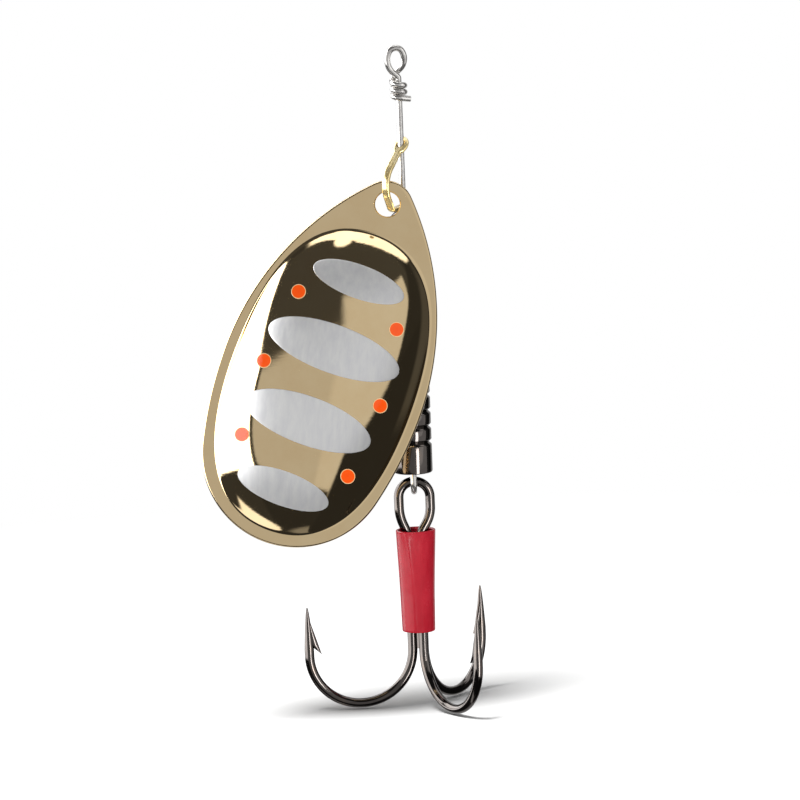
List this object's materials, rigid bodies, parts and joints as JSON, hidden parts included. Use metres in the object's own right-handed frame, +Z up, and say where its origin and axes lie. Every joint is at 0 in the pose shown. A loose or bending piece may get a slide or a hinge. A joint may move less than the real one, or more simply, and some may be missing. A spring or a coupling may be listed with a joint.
{
  "type": "fishing spinner lure",
  "caption": "In-line fishing spinner with a gold French blade, turned black-nickel weight, wire shaft and treble hook with a red sleeve.",
  "frame": {"origin": "middle of the line eye's opening, on the axis of the straight shaft wire", "axes": "+Z up along the shaft wire towards the line eye; -Y towards the convex face of the blade; the line eye lies in the XZ plane"},
  "size_m": [0.027, 0.0198, 0.0652],
  "materials": {
    "stainless_wire": "bright drawn stainless spring wire",
    "brass_strip": "polished brass strip",
    "black_nickel": "polished black nickel plate",
    "gold_plate": "mirror pale gold plate on pressed brass",
    "silver_foil": "satin silver foil",
    "orange_paint": "gloss fluorescent orange lacquer",
    "braze_metal": "braze under black nickel plate",
    "red_tube": "soft glossy red tube"
  },
  "bodies": {
    "shaft": {"shaft_wire": "stainless_wire"},
    "bead": {"bearing_bead": "black_nickel"},
    "clevis": {"clevis": "brass_strip"},
    "blade": {"blade": "gold_plate", "foil_bars": "silver_foil", "paint_dots": "orange_paint"},
    "weight": {"weight": "black_nickel"},
    "hook": {"hook_pair": "black_nickel", "hook_single": "black_nickel", "braze": "braze_metal", "sleeve": "red_tube"}
  },
  "joints": [
    {"name": "bead_slide", "type": "slide", "parent": "shaft", "child": "bead", "axis": [0, 0, 1], "range_m": [0, 0.0032]},
    {"name": "clevis_spin", "type": "hinge", "parent": "bead", "child": "clevis", "pos_m": [0, 0, -0.01442], "axis": [0, 0, 1], "continuous": true},
    {"name": "blade_swing", "type": "hinge", "parent": "clevis", "child": "blade", "pos_m": [-0.00109, -0.00173, -0.01274], "axis": [-0.8771, 0.4803, 0], "range_deg": [-6, 60]},
    {"name": "weight_spin", "type": "hinge", "parent": "bead", "child": "weight", "pos_m": [0, 0, -0.029], "axis": [0, 0, 1], "continuous": true},
    {"name": "hook_swing", "type": "hinge", "parent": "shaft", "child": "hook", "pos_m": [0, 0, -0.04148], "axis": [0.9659, -0.2588, 0], "range_deg": [-40, 75]}
  ]
}
